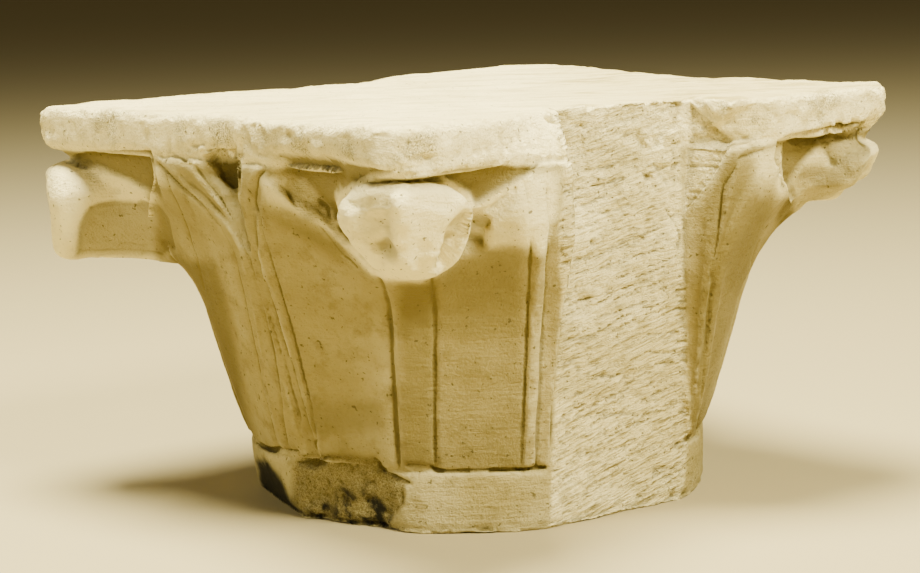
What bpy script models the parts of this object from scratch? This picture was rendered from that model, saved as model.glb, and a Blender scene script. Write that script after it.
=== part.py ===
"""Carved limestone capital: a round neck band, a bell of flat water leaves, four corner
crockets under a square abacus, and a hacked band down its front right side.

Metres, +Z up. The origin is the centre of the underside. Plan angles are measured from
the front (-Y), positive towards the right (+X).
"""
import math

import bmesh
import bpy
from mathutils import Matrix, Vector

# Whole block
HEIGHT = 0.316
ABACUS_THICKNESS = 0.036
ABACUS_HALF_SIDE = 0.250
ABACUS_ARRIS_WEAR = 0.004
ABACUS_OVERHANG = 0.002

# Neck band and the groove that parts it from the bell
NECK_RADIUS = 0.1815
NECK_BAND_HEIGHT = 0.046
NECK_BAND_FLARE = 0.002
GROOVE_WIDTH = 0.005
GROOVE_DEPTH = 0.004

# Bell: half its width across the sides, and where it stops being round
BELL_FOOT_RADIUS = 0.1845
BELL_TOP_HALF_SIDE = ABACUS_HALF_SIDE
ROUND_UP_TO = 0.150
SQUARENESS_AT_TOP = 6.0
SQUARENESS_CURVE = 2.6
BELL_CURVE = 0.92

# Leaves: two lobes to a corner, on either side of a flat rib
LEAF_WAIST_HEIGHT = 0.205
LEAF_HEEL_HEIGHT = 0.206
LEAF_EDGE_CURVE = 0.85
RIB_HALF_ANGLE = 4.3
RIB_RISE = 0.0015
RIB_LINE_DEPTH = 0.0020
LEAF_DISH = 0.0015
LEAF_ROLL_RISE = 0.0030
BORDER_RISE = 0.0010
RECESS_DEPTH = 0.012

# Valleys between neighbouring leaves, which open into a notch under the abacus
VALLEY_FOOT_DEPTH = 0.002
NOTCH_DEPTH = 0.030
NOTCH_FOOT_HEIGHT = 0.170
NOTCH_SET_BACK = 0.012

# Crockets
CROCKET_WIDTH = 0.104
CROCKET_NECK_WIDTH = 0.090
CROCKET_ROOT = BELL_TOP_HALF_SIDE - 0.035
CROCKET_ROUNDING = 0.020
CROCKET_RIDGE = 0.34
CROCKET_SIDES = 24
CROCKET_TIP_SHARE = 0.62
CROCKET_CORNER_CURVE = 0.70
SWELL_UNDER_CROCKET = 0.015
SWELL_FROM = 0.185
SWELL_TO = 0.210
SHARP_FROM = 28.0

# Corners in plan: the rib's angle at its foot and head, the corner's angle, and how much is
# worn or broken off the corner of the full square
CORNERS = {
    "left": (-89.0, -94.5, -94.5, 0.0055),
    "front": (-14.6, -11.0, -8.5, 0.0105),
    "right": (89.0, 84.0, 84.0, 0.0225),
    "back": (172.0, 168.0, 168.0, 0.0085),
}

# Crocket at each corner: heights of its underside and top, how far it stops short of the
# corner of the full square, lean of its worn face
CROCKETS = {
    "left": (0.189, 0.272, 0.0065, 0.003),
    "front": (0.204, 0.277, 0.0135, 0.040),
    "right": (0.210, 0.271, 0.0135, 0.010),
    "back": (0.196, 0.270, 0.0115, 0.010),
}
BROKEN_CROCKET = "right"
FRACTURE_SET_BACK = 0.0455
FRACTURE_HEIGHT = 0.237
FRACTURE_SLOPE = 34.0
FRACTURE_SWING = -12.0

# Valleys in plan: angle at the foot and at the top
VALLEYS = {
    "left_front": (-41.8, -46.0),
    "right_back": (131.0, 126.0),
    "back_left": (219.0, 217.0),
}

# Lobes in plan: outer edge at the foot and at the waist, apex, the border's share, and
# the height of the apex
LOBES = {
    "left_front": (-44.0, -44.0, -67.0, 0.50, 0.273),
    "front_left": (-39.5, -41.0, -34.0, 0.75, 0.270),
    "front_right": (12.3, 12.0, 8.0, 0.90, 0.260),
    "right_front": (63.0, 52.5, 58.0, 0.90, 0.272),
    "right_back": (128.5, 122.0, 110.0, 0.50, 0.272),
    "back_right": (133.5, 131.0, 142.0, 0.50, 0.272),
    "back_left": (214.5, 211.0, 200.0, 0.50, 0.272),
    "left_back": (224.5, 222.0, 240.0, 0.50, 0.272),
}

# Hacked band: plan angle and distance from the axis of its two edges, by height
BAND_LEFT = ((0.0, 17.0, 0.181), (0.10, 16.5, 0.186), (0.20, 17.5, 0.186), (0.316, 18.4, 0.187))
BAND_RIGHT = ((0.0, 61.0, 0.181), (0.05, 61.0, 0.1835), (0.10, 57.3, 0.190),
              (0.19, 50.8, 0.206), (0.316, 50.0, 0.211))
BAND_COLUMNS = 7
BAND_ROUGHNESS = 0.0022
BAND_WAVES = 110.0

# Broken places
FRONT_ARM_BREAK = 0.042
FRONT_BREAK_FROM = -4.0
FRONT_BREAK_TO = 14.0
FRONT_BREAK_END = 20.0
RIGHT_ARM_BREAK = 0.034
SPALL_DEPTH = 0.010
SPALL_FROM = -52.0
SPALL_TO = -17.0
SPALL_FADE = 8.0
FOOT_BREAK_ANGLE = -71.2
FOOT_BREAK_DISTANCE = 0.1674
FOOT_BREAK_SLOPE = 0.37

# Rows of points up the stone: neck band, leaves, and the recess over a leaf's heel
NECK_ROWS = 4
LEAF_ROWS = 12
ROWS_OVER_LEAF = (0.12, 0.45, 0.75, 1.0)
FOOT_ROW = NECK_ROWS + 1
TOP_LEAF_ROW = FOOT_ROW + LEAF_ROWS
ABACUS_ROW = TOP_LEAF_ROW + len(ROWS_OVER_LEAF) + 1

LIMESTONE = (0.62, 0.55, 0.36, 1.0)


def smooth(value, start, end):
    """Ease from 0 to 1 as the value goes from start to end."""
    share = min(1.0, max(0.0, (value - start) / (end - start)))
    return share * share * (3.0 - 2.0 * share)


def mix(a, b, share):
    return a + (b - a) * share


def at_height(table, z):
    """Angle and distance from the axis of a band's edge at a height."""
    for low, high in zip(table, table[1:]):
        if z <= high[0]:
            break
    share = min(1.0, max(0.0, (z - low[0]) / (high[0] - low[0])))
    return mix(low[1], high[1], share), mix(low[2], high[2], share)


def polar(angle, radius, z):
    turn = math.radians(angle)
    return Vector((radius * math.sin(turn), -radius * math.cos(turn), z))


FULL_CORNER = ABACUS_HALF_SIDE * math.sqrt(2.0)
ABACUS_UNDERSIDE = HEIGHT - ABACUS_THICKNESS
LEAF_FOOT = NECK_BAND_HEIGHT + GROOVE_WIDTH
BORDER_TOP = ABACUS_UNDERSIDE - 0.008
CORNER_ORDER = ("left", "front", "right", "back")
CORNER_ANGLES = [CORNERS[name][2] for name in CORNER_ORDER]
CORNER_ANGLES.append(CORNER_ANGLES[0] + 360.0)


def side_angle(angle):
    """Angle from the middle of the nearest side, stretched so that corners are at 45."""
    angle = (angle - CORNER_ANGLES[0]) % 360.0 + CORNER_ANGLES[0]
    for low, high in zip(CORNER_ANGLES, CORNER_ANGLES[1:]):
        if angle <= high:
            break
    return math.radians(((angle - low) / (high - low) - 0.5) * 90.0)


def bell_radius(angle, z):
    """The plain bell: round at its foot, growing square towards the abacus."""
    share = min(1.0, max(0.0, (z - LEAF_FOOT) / (ABACUS_UNDERSIDE - LEAF_FOOT)))
    half_side = mix(BELL_FOOT_RADIUS, BELL_TOP_HALF_SIDE, share ** BELL_CURVE)
    rise = max(0.0, (z - ROUND_UP_TO) / (ABACUS_UNDERSIDE - ROUND_UP_TO))
    power = 2.0 + SQUARENESS_AT_TOP * min(1.0, rise) ** SQUARENESS_CURVE
    b = side_angle(angle)
    spread = abs(math.cos(b)) ** power + abs(math.sin(b)) ** power
    return half_side / spread ** (1.0 / power)


def corner_reach(corner):
    """Distance from the axis to a worn corner of the abacus."""
    return FULL_CORNER - CORNERS[corner][3]


def abacus_radius(angle, reach):
    """Outline of the abacus: straight sides, corners worn off at their reach."""
    b = abs(side_angle(angle))
    return min(ABACUS_HALF_SIDE / math.cos(b), reach / math.cos(math.pi / 4.0 - b))


def neck_radius(angle, z):
    """The neck band, with the spalled front and the piece lost from its left foot."""
    radius = NECK_RADIUS + NECK_BAND_FLARE * z / NECK_BAND_HEIGHT
    begun = smooth(angle, SPALL_FROM, SPALL_FROM + SPALL_FADE)
    ended = smooth(angle, SPALL_TO - SPALL_FADE, SPALL_TO)
    radius -= SPALL_DEPTH * begun * (1.0 - ended) * (1.0 - 0.5 * z / NECK_BAND_HEIGHT)
    facing = math.cos(math.radians(angle - FOOT_BREAK_ANGLE))
    if facing > 0.5:
        radius = min(radius, (FOOT_BREAK_DISTANCE + FOOT_BREAK_SLOPE * z) / facing)
    return radius


def row_heights(leaf_top):
    """Heights of a column's points, from the underside to the top bed."""
    heights = [NECK_BAND_HEIGHT * row / (NECK_ROWS - 1) for row in range(NECK_ROWS)]
    heights += [NECK_BAND_HEIGHT + 0.5 * GROOVE_WIDTH, LEAF_FOOT]
    for row in range(1, LEAF_ROWS + 1):
        heights.append(mix(LEAF_FOOT, leaf_top, row / LEAF_ROWS))
    heights += [mix(leaf_top, ABACUS_UNDERSIDE, share) for share in ROWS_OVER_LEAF]
    heights.append(ABACUS_UNDERSIDE + 0.5 * ABACUS_ARRIS_WEAR)
    heights.append(ABACUS_UNDERSIDE + 1.75 * ABACUS_ARRIS_WEAR)
    heights.append(HEIGHT - ABACUS_ARRIS_WEAR)
    heights.append(HEIGHT)
    return heights


def front_break(angle, z):
    """What is lost from the abacus where the front corner ends against the band."""
    if angle > FRONT_BREAK_END:
        return 0.0
    lost = FRONT_ARM_BREAK * smooth(angle, FRONT_BREAK_FROM, FRONT_BREAK_TO)
    return lost * mix(0.35, 1.0, smooth(z, ABACUS_UNDERSIDE, HEIGHT))


def carved_column(angles, leaf_top, rise, recess, reach, swell=0.0, set_back=0.0, undercut=0.0):
    """One line of points up the stone. Angles and rise are functions of a leaf share."""
    points = []
    for row, z in enumerate(row_heights(leaf_top)):
        share = min(1.0, max(0.0, (row - FOOT_ROW) / LEAF_ROWS))
        angle = angles(share)
        if row < NECK_ROWS:
            radius = neck_radius(angle, z)
        elif row < FOOT_ROW:
            radius = min(BELL_FOOT_RADIUS, neck_radius(angle, z)) - GROOVE_DEPTH
        elif row < ABACUS_ROW:
            radius = bell_radius(angle, z) + rise(share)
            radius += swell * SWELL_UNDER_CROCKET * smooth(z, SWELL_FROM, SWELL_TO)
            if row > TOP_LEAF_ROW:
                radius -= recess
            radius = min(radius, abacus_radius(angle, reach) - front_break(angle, z) - ABACUS_OVERHANG)
        else:
            radius = abacus_radius(angle, reach) - set_back - front_break(angle, z)
            radius -= undercut * (1.0 - smooth(z, ABACUS_UNDERSIDE, HEIGHT))
            if row == ABACUS_ROW or z == HEIGHT:
                radius -= ABACUS_ARRIS_WEAR
        points.append(polar(angle, radius, z))
    return points


def rib_columns(name):
    """The flat rib under a crocket: its middle and its two shoulders."""
    foot, top, _, _ = CORNERS[name]
    columns = []
    for side in (-1.0, 0.0, 1.0):
        offset = side * 0.75 * RIB_HALF_ANGLE
        columns.append(carved_column(
            lambda share, o=offset: mix(foot, top, share) + o,
            LEAF_HEEL_HEIGHT, lambda share: RIB_RISE, RECESS_DEPTH, corner_reach(name), swell=1.0))
    return columns


# Across a lobe, from its rib to its outer edge: share of the width, rise at the edges
LOBE_SECTION = (
    (0.0, -RIB_LINE_DEPTH, 0.8),
    (0.07, 0.0, 0.5),
    (0.30, -LEAF_DISH, -0.5),
    (0.58, -LEAF_DISH, -0.4),
    (0.84, -0.5 * LEAF_DISH, 0.0),
    (0.92, LEAF_ROLL_RISE, 0.0),
    (1.0, LEAF_ROLL_RISE, 0.0),
)


def lobe_columns(corner, lobe, side):
    """A leaf lobe's columns, in order from the rib out to the border's arris."""
    foot, top, _, _ = CORNERS[corner]
    reach = corner_reach(corner)
    outer_foot, outer_waist, apex, border_share, apex_height = LOBES[lobe]
    if side < 0.0 and foot < outer_foot:
        foot, top = foot + 360.0, top + 360.0
    waist = (LEAF_WAIST_HEIGHT - LEAF_FOOT) / (apex_height - LEAF_FOOT)

    def rib_edge(share):
        return mix(foot, top, share) + side * RIB_HALF_ANGLE

    def outer(share):
        straight = mix(outer_foot, outer_waist, min(1.0, share / waist))
        curl = max(0.0, (share - waist) / (1.0 - waist))
        return straight + (apex - outer_waist) * curl * curl

    columns = []
    for width_share, rise, swell in LOBE_SECTION:
        leaf_top = mix(LEAF_HEEL_HEIGHT, apex_height, width_share ** LEAF_EDGE_CURVE)
        recess = RECESS_DEPTH if width_share < 0.9 else 0.3 * RECESS_DEPTH
        columns.append(carved_column(
            lambda share, w=width_share: mix(rib_edge(share), outer(share), w),
            leaf_top, lambda share, r=rise: r, recess, reach, swell=swell))

    limit = VALLEY_BESIDE[lobe]

    def border(share, part):
        return mix(outer(share), limit(share), part)

    broken = RIGHT_ARM_BREAK if lobe == "right_front" else 0.0
    for part, rise in ((0.25, -LEAF_DISH), (1.0, BORDER_RISE)):
        columns.append(carved_column(
            lambda share, p=part: border(share, p * border_share),
            apex_height, lambda share, r=rise: r, 0.0, reach,
            set_back=0.3 * NOTCH_SET_BACK, undercut=part * broken))
    return columns


def valley_column(name, reach):
    """The bottom of the groove between two leaves, deep where it nears the abacus."""
    foot, top = VALLEYS[name]

    def depth(share):
        z = mix(LEAF_FOOT, BORDER_TOP, share)
        return -mix(VALLEY_FOOT_DEPTH, NOTCH_DEPTH, smooth(z, NOTCH_FOOT_HEIGHT, BORDER_TOP))

    return carved_column(lambda share: mix(foot, top, share), BORDER_TOP, depth, 0.0,
                         reach, set_back=NOTCH_SET_BACK)


def band_edge_angle(table, share):
    return at_height(table, mix(LEAF_FOOT, BORDER_TOP, share))[0]


def valley_angle(name, share):
    return mix(VALLEYS[name][0], VALLEYS[name][1], share)


# What bounds the border of each lobe on its outer side
VALLEY_BESIDE = {
    "left_front": lambda share: valley_angle("left_front", share),
    "front_left": lambda share: valley_angle("left_front", share),
    "front_right": lambda share: band_edge_angle(BAND_LEFT, share),
    "right_front": lambda share: band_edge_angle(BAND_RIGHT, share),
    "right_back": lambda share: valley_angle("right_back", share),
    "back_right": lambda share: valley_angle("right_back", share),
    "back_left": lambda share: valley_angle("back_left", share),
    "left_back": lambda share: valley_angle("back_left", share),
}


def band_columns():
    """The hacked band: chords between its two edges, roughened by the point chisel."""
    columns = []
    for step in range(BAND_COLUMNS):
        across = step / (BAND_COLUMNS - 1)
        points = []
        for z in row_heights(BORDER_TOP):
            start = polar(*at_height(BAND_LEFT, z), z)
            end = polar(*at_height(BAND_RIGHT, z), z)
            point = start.lerp(end, across)
            outward = Vector((point.x, point.y, 0.0)).normalized()
            wave = math.sin(BAND_WAVES * z + 4.1 * step) + math.sin(0.47 * BAND_WAVES * z - 2.7 * step)
            if 0 < step < BAND_COLUMNS - 1:
                point += outward * BAND_ROUGHNESS * 0.5 * wave
            points.append(point)
        columns.append(points)
    return columns


def stone_columns():
    """Every column of the stone, once round from the left corner."""
    columns = []
    columns += rib_columns("left")
    columns += lobe_columns("left", "left_front", 1.0)
    columns.append(valley_column("left_front", corner_reach("left")))
    columns += reversed(lobe_columns("front", "front_left", -1.0))
    columns += rib_columns("front")
    columns += lobe_columns("front", "front_right", 1.0)
    columns += band_columns()
    columns += reversed(lobe_columns("right", "right_front", -1.0))
    columns += rib_columns("right")
    columns += lobe_columns("right", "right_back", 1.0)
    columns.append(valley_column("right_back", corner_reach("right")))
    columns += reversed(lobe_columns("back", "back_right", -1.0))
    columns += rib_columns("back")
    columns += lobe_columns("back", "back_left", 1.0)
    columns.append(valley_column("back_left", corner_reach("back")))
    columns += reversed(lobe_columns("left", "left_back", -1.0))
    return columns


def loft(name, columns, collection):
    """A closed skin over columns of points that run once round, capped at both ends."""
    mesh = bpy.data.meshes.new(name)
    skin = bmesh.new()
    grid = [[skin.verts.new(point) for point in column] for column in columns]
    for index, column in enumerate(grid):
        following = grid[(index + 1) % len(grid)]
        for row in range(len(column) - 1):
            skin.faces.new((column[row], following[row], following[row + 1], column[row + 1]))
    skin.faces.new([column[0] for column in reversed(grid)])
    skin.faces.new([column[-1] for column in grid])
    bmesh.ops.recalc_face_normals(skin, faces=skin.faces)
    skin.to_mesh(mesh)
    skin.free()
    piece = bpy.data.objects.new(name, mesh)
    collection.objects.link(piece)
    return piece


def shield_ring(station, width, top, foot, ridge, lean):
    """A section of a crocket across its length: flat topped, drawn in to a blunt tip."""
    ring = []
    for step in range(CROCKET_SIDES):
        turn = 2.0 * math.pi * step / CROCKET_SIDES
        across = math.copysign(abs(math.cos(turn)) ** CROCKET_CORNER_CURVE, math.cos(turn))
        up = math.copysign(abs(math.sin(turn)) ** CROCKET_CORNER_CURVE, math.sin(turn))
        height_share = 0.5 + 0.5 * up
        taper = mix(CROCKET_TIP_SHARE, 1.0, smooth(height_share, 0.0, 0.80))
        y = 0.5 * width * across * taper
        z = mix(foot, top, height_share)
        worn = lean * (1.0 - height_share) ** 1.5
        ring.append(Vector((station - ridge * abs(y) - worn, y, z)))
    return ring


def crocket(corner, collection):
    """The curled leaf tip under a corner of the abacus, reaching out from the bell."""
    foot, top, set_back, lean = CROCKETS[corner]
    length = FULL_CORNER - set_back - CROCKET_ROOT
    # Share of the length, width, how far the underside and the top are drawn in as shares of
    # the rounding, how far the sides fall back from the ridge
    sections = (
        (0.0, CROCKET_NECK_WIDTH, -0.3, 1.5, 0.0),
        (0.30, 0.96 * CROCKET_NECK_WIDTH, -0.1, 1.1, 0.05),
        (0.55, 0.90 * CROCKET_NECK_WIDTH, 0.0, 0.6, 0.10),
        (0.74, 0.92 * CROCKET_WIDTH, 0.05, 0.1, 0.20),
        (0.90, CROCKET_WIDTH, 0.1, 0.0, 0.8 * CROCKET_RIDGE),
        (0.97, 0.95 * CROCKET_WIDTH, 0.3, 0.2, CROCKET_RIDGE),
        (1.0, 0.74 * CROCKET_WIDTH, 0.8, 0.7, CROCKET_RIDGE),
    )
    rings = [shield_ring(CROCKET_ROOT + share * length, width, top - over * CROCKET_ROUNDING,
                         foot + under * CROCKET_ROUNDING, ridge, lean * share)
             for share, width, under, over, ridge in sections]
    columns = [list(points) for points in zip(*rings)]
    piece = loft("crocket_" + corner, columns, collection)
    piece.data.transform(corner_turn(corner))
    hide_cutter(piece, collection)
    return piece


def corner_turn(corner):
    """Swing a shape that was made along +X round to its corner."""
    return Matrix.Rotation(math.radians(CORNERS[corner][2] - 90.0), 4, "Z")


def fracture_block(corner, collection):
    """A block whose slanting face is the fracture of a broken crocket."""
    size = 2.0 * CROCKET_WIDTH
    bpy.ops.mesh.primitive_cube_add(size=size)
    block = bpy.context.object
    block.name = "fracture_" + corner
    offset = Matrix.Translation((0.5 * size, 0.0, 0.0))
    tilt = Matrix.Rotation(math.radians(FRACTURE_SLOPE), 4, "Y")
    swing = Matrix.Rotation(math.radians(FRACTURE_SWING), 4, "Z")
    place = Matrix.Translation((FULL_CORNER - FRACTURE_SET_BACK, 0.0, FRACTURE_HEIGHT))
    block.data.transform(corner_turn(corner) @ place @ swing @ tilt @ offset)
    hide_cutter(block, collection)
    return block


def hide_cutter(piece, collection):
    for owner in list(piece.users_collection):
        owner.objects.unlink(piece)
    collection.objects.link(piece)
    piece.hide_render = True
    piece.display_type = "WIRE"


def boolean(piece, other, operation):
    modifier = piece.modifiers.new(operation.title(), "BOOLEAN")
    modifier.object = other
    modifier.operation = operation
    modifier.solver = "EXACT"


def limestone():
    material = bpy.data.materials.new("limestone")
    material.use_nodes = True
    shader = material.node_tree.nodes["Principled BSDF"]
    shader.inputs["Base Color"].default_value = LIMESTONE
    shader.inputs["Roughness"].default_value = 0.9
    shader.inputs["Metallic"].default_value = 0.0
    return material


for old in list(bpy.data.objects):
    bpy.data.objects.remove(old, do_unlink=True)

parts = bpy.data.collections.new("limestone_capital")
cutters = bpy.data.collections.new("cutters")
bpy.context.scene.collection.children.link(parts)
bpy.context.scene.collection.children.link(cutters)

capital = loft("capital", stone_columns(), parts)
capital.data.materials.append(limestone())
for corner in CORNER_ORDER:
    bud = crocket(corner, cutters)
    if corner == BROKEN_CROCKET:
        boolean(bud, fracture_block(corner, cutters), "DIFFERENCE")
    boolean(capital, bud, "UNION")
capital.data.shade_smooth()
capital.data.set_sharp_from_angle(angle=math.radians(SHARP_FROM))
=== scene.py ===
"""Looks of the limestone capital: one carved block with its tool marks, breaks and weathering."""
import itertools
import math

import bmesh
import bpy
import numpy as np
from mathutils import Matrix, Vector


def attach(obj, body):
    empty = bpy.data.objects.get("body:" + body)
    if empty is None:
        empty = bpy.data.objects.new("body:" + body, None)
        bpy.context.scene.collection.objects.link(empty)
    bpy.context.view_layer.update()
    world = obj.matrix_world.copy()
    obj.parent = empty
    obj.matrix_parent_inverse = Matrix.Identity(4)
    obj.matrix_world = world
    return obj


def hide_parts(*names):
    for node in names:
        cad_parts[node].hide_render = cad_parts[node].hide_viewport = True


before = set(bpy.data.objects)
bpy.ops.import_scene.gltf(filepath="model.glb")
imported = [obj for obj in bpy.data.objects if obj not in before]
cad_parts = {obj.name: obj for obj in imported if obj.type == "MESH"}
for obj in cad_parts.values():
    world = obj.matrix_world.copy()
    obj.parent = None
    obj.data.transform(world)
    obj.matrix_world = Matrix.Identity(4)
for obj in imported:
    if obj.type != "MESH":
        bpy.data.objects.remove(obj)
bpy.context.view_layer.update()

# The camera stands two metres in front of the block, a little above its top bed, and looks
# slightly down. Marks that are placed below by a pixel of the photograph are seen by this
# camera and fall where its line of sight meets the stone.
PHOTO_WIDTH = 920
PHOTO_HEIGHT = 573
FOCAL_PIXELS = 2440.85
SENSOR_WIDTH = 36.0
CAMERA_PLACE = Vector((-0.01015, -1.95268, 0.43292))
CAMERA_PITCH = 0.1383
CAMERA_ROLL = 0.0322
FARTHEST_SEEN = 200.0

lens = bpy.data.cameras.new("camera")
lens.sensor_width = SENSOR_WIDTH
lens.lens = FOCAL_PIXELS / PHOTO_WIDTH * SENSOR_WIDTH
lens.clip_end = FARTHEST_SEEN
camera = bpy.data.objects.new("camera", lens)
bpy.context.scene.collection.objects.link(camera)
camera_turn = Matrix.Rotation(math.pi / 2 - CAMERA_PITCH, 3, "X") @ Matrix.Rotation(-CAMERA_ROLL, 3, "Z")
camera.matrix_world = Matrix.Translation(CAMERA_PLACE) @ camera_turn.to_4x4()
bpy.context.scene.camera = camera

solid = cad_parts["capital"]
bpy.context.view_layer.update()


def seen_at(places):
    """Pixel column and row at which the camera sees each place."""
    local = (places - np.array(CAMERA_PLACE)) @ np.array(camera_turn)
    column = 0.5 * PHOTO_WIDTH - FOCAL_PIXELS * local[:, 0] / local[:, 2]
    row = 0.5 * PHOTO_HEIGHT + FOCAL_PIXELS * local[:, 1] / local[:, 2]
    return column, row


def touch(column, row):
    """Where the camera's line of sight through a pixel meets the stone, or None."""
    sight = Vector((column - 0.5 * PHOTO_WIDTH, 0.5 * PHOTO_HEIGHT - row, -FOCAL_PIXELS))
    hit, place, _, _ = solid.ray_cast(CAMERA_PLACE, (camera_turn @ sight).normalized())
    return place if hit else None


def traced(pixels, step=3.0):
    """A line of places on the stone under a line of pixels."""
    line = []
    for start, end in zip(pixels, pixels[1:]):
        steps = max(1, round(math.dist(start, end) / step))
        for index in range(steps + (end == pixels[-1])):
            share = index / steps
            place = touch(start[0] + (end[0] - start[0]) * share, start[1] + (end[1] - start[1]) * share)
            if place is not None:
                line.append(place)
    return line


def on_side(angle, height):
    """Where the stone's side is at a plan angle, measured from the front, and a height."""
    turn = math.radians(angle)
    outward = Vector((math.sin(turn), -math.cos(turn), 0.0))
    hit, place, _, _ = solid.ray_cast(outward + Vector((0.0, 0.0, height)), -outward)
    return place if hit else None


# The block is one piece of limestone, cut from the bed with a point and a chisel. Its solid
# is taken over with its flat arrises kept, its curved faces rounded off, and a skin of
# small faces laid over it that the tools below can cut.
SKIN_SIZE = 0.0016
KEPT_ARRIS = math.radians(28.0)
CROCKET_FROM = 0.262
CROCKET_LOW = 0.185
CROCKET_HIGH = 0.279
CROCKET_SOFTNESS = 0.0045
CROCKET_EASE = 0.012
CROCKET_UNDER_ABACUS = 0.272
JOINED_WITHIN = 0.00002
FLAT_WITHIN = math.radians(14.0)
SHAPE_WITHIN = math.radians(60.0)
ROUNDING_LEVELS = 2

cage = bmesh.new()
cage.from_mesh(solid.data)
bmesh.ops.remove_doubles(cage, verts=cage.verts, dist=JOINED_WITHIN)
bmesh.ops.join_triangles(cage, faces=cage.faces, angle_face_threshold=FLAT_WITHIN,
                         angle_shape_threshold=SHAPE_WITHIN)
crease = cage.edges.layers.float.new("crease_edge")
for edge in cage.edges:
    middle = (edge.verts[0].co + edge.verts[1].co) / 2
    at_crocket = middle.xy.length > CROCKET_FROM and CROCKET_LOW < middle.z < CROCKET_HIGH
    if at_crocket or len(edge.link_faces) != 2 or edge.calc_face_angle(0.0) > KEPT_ARRIS:
        edge[crease] = 1.0
cage_mesh = bpy.data.meshes.new("cage")
cage.to_mesh(cage_mesh)
cage.free()
cage_piece = bpy.data.objects.new("cage", cage_mesh)
bpy.context.scene.collection.objects.link(cage_piece)
rounding = cage_piece.modifiers.new("Rounding", "SUBSURF")
rounding.levels = ROUNDING_LEVELS
rounding.render_levels = ROUNDING_LEVELS
skin = cage_piece.modifiers.new("Skin", "REMESH")
skin.mode = "VOXEL"
skin.voxel_size = SKIN_SIZE
bpy.context.view_layer.update()
stone = bpy.data.meshes.new_from_object(cage_piece.evaluated_get(bpy.context.evaluated_depsgraph_get()))
stone.name = "limestone_capital"
bpy.data.objects.remove(cage_piece)

count = len(stone.vertices)
points = np.empty(count * 3, np.float32)
stone.vertices.foreach_get("co", points)
points = points.reshape(-1, 3)
edges = np.empty(len(stone.edges) * 2, np.int32)
stone.edges.foreach_get("vertices", edges)
edges = edges.reshape(-1, 2)
from_ends = np.concatenate((edges[:, 0], edges[:, 1]))
to_ends = np.concatenate((edges[:, 1], edges[:, 0]))[np.argsort(from_ends, kind="stable")]
degrees = np.bincount(from_ends, minlength=count)
firsts = np.cumsum(degrees) - degrees
NEIGHBOURS = 5
neighbours = []
for number in range(NEIGHBOURS):
    has_one = degrees > number
    ends = to_ends[np.where(has_one, firsts + number, 0)]
    neighbours.append(np.where(has_one, ends, np.arange(count)))
# One round of softening spreads a value by this share of a squared step of the skin.
SPREAD_A_ROUND = 0.42
# Whole numbers that make the random numbers, and how far seeds and octaves lie apart.
FIRST_MIX = 73856093
SECOND_MIX = 1274126177
WHOLE_BITS = 0xFFFFFFFF
LOW_BITS = 0xFFFF
SEED_SHIFT = 31.7
OCTAVE_SHIFT = 9.1


def faced():
    """Write the points to the mesh and read which way each one faces."""
    stone.vertices.foreach_set("co", points.astype(np.float32).ravel())
    stone.update()
    out = np.empty(count * 3, np.float32)
    stone.vertex_normals.foreach_get("vector", out)
    return out.reshape(-1, 3)


def softened(values, distance):
    """Values at the points, blurred over a distance along the surface."""
    rounds = max(1, round((distance / SKIN_SIZE) ** 2 / SPREAD_A_ROUND))
    for _ in range(rounds):
        total = values.copy()
        for neighbour in neighbours:
            total += values[neighbour]
        values = total / (NEIGHBOURS + 1.0)
    return values


def ease(value, start, end):
    """0 before start, 1 after end, and smooth between them."""
    share = np.clip((value - start) / (end - start), 0.0, 1.0)
    return share * share * (3.0 - 2.0 * share)


def scatter(*keys):
    """A random number from 0 to 1 for each set of whole numbers, the same each time."""
    mixed = np.zeros(np.shape(keys[0]), np.int64)
    for key in keys:
        mixed = (mixed ^ np.asarray(key, np.int64)) * FIRST_MIX & WHOLE_BITS
        mixed = (mixed ^ (mixed >> 15)) * SECOND_MIX & WHOLE_BITS
        mixed = mixed ^ (mixed >> 13)
    return (mixed & LOW_BITS) / float(LOW_BITS)


def grain(places, size, seed, octaves=1):
    """Smooth random relief from -1 to 1, its lumps about one size across."""
    total = np.zeros(len(places), np.float32)
    for octave in range(octaves):
        scaled = (places * (2 ** octave / size) + SEED_SHIFT * seed + OCTAVE_SHIFT * octave).T
        cell = np.floor(scaled).astype(np.int64)
        part = scaled - cell
        part = part * part * (3.0 - 2.0 * part)
        for corner in itertools.product((0, 1), repeat=3):
            weight = 0.5 ** octave
            for axis in range(3):
                weight = weight * (part[axis] if corner[axis] else 1.0 - part[axis])
            keys = [cell[axis] + corner[axis] for axis in range(3)]
            total += weight * (2.0 * scatter(*keys, seed) - 1.0)
    return total


# Places on a line that are farther apart than this lie on different faces and aren't joined.
LONGEST_STEP = 0.02
SHORTEST_STEP = 1e-6
CUT_UNEVENNESS = 0.45
CUT_LUMP = 0.020
# Reach, size of lumps and width of the edge of a spot, as shares of its radius.
BLOT_REACH = 2.0
BLOT_LUMP = 0.8
BLOT_EDGE = 0.6


def beside(line, reach):
    """Points within reach of a line on the stone: which they are and how far from it."""
    line = np.array(line)
    low, high = line.min(0) - reach, line.max(0) + reach
    which = np.nonzero(np.all((points > low) & (points < high), axis=1))[0]
    near = np.full(len(which), np.inf)
    for start, end in zip(line, line[1:]):
        length = np.linalg.norm(end - start)
        if not SHORTEST_STEP < length < LONGEST_STEP:
            continue
        direction = (end - start) / length
        offset = points[which] - start
        offset -= np.clip(offset @ direction, 0.0, length)[:, None] * direction
        near = np.minimum(near, np.linalg.norm(offset, axis=1))
    keep = near < reach
    return which[keep], near[keep]


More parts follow.
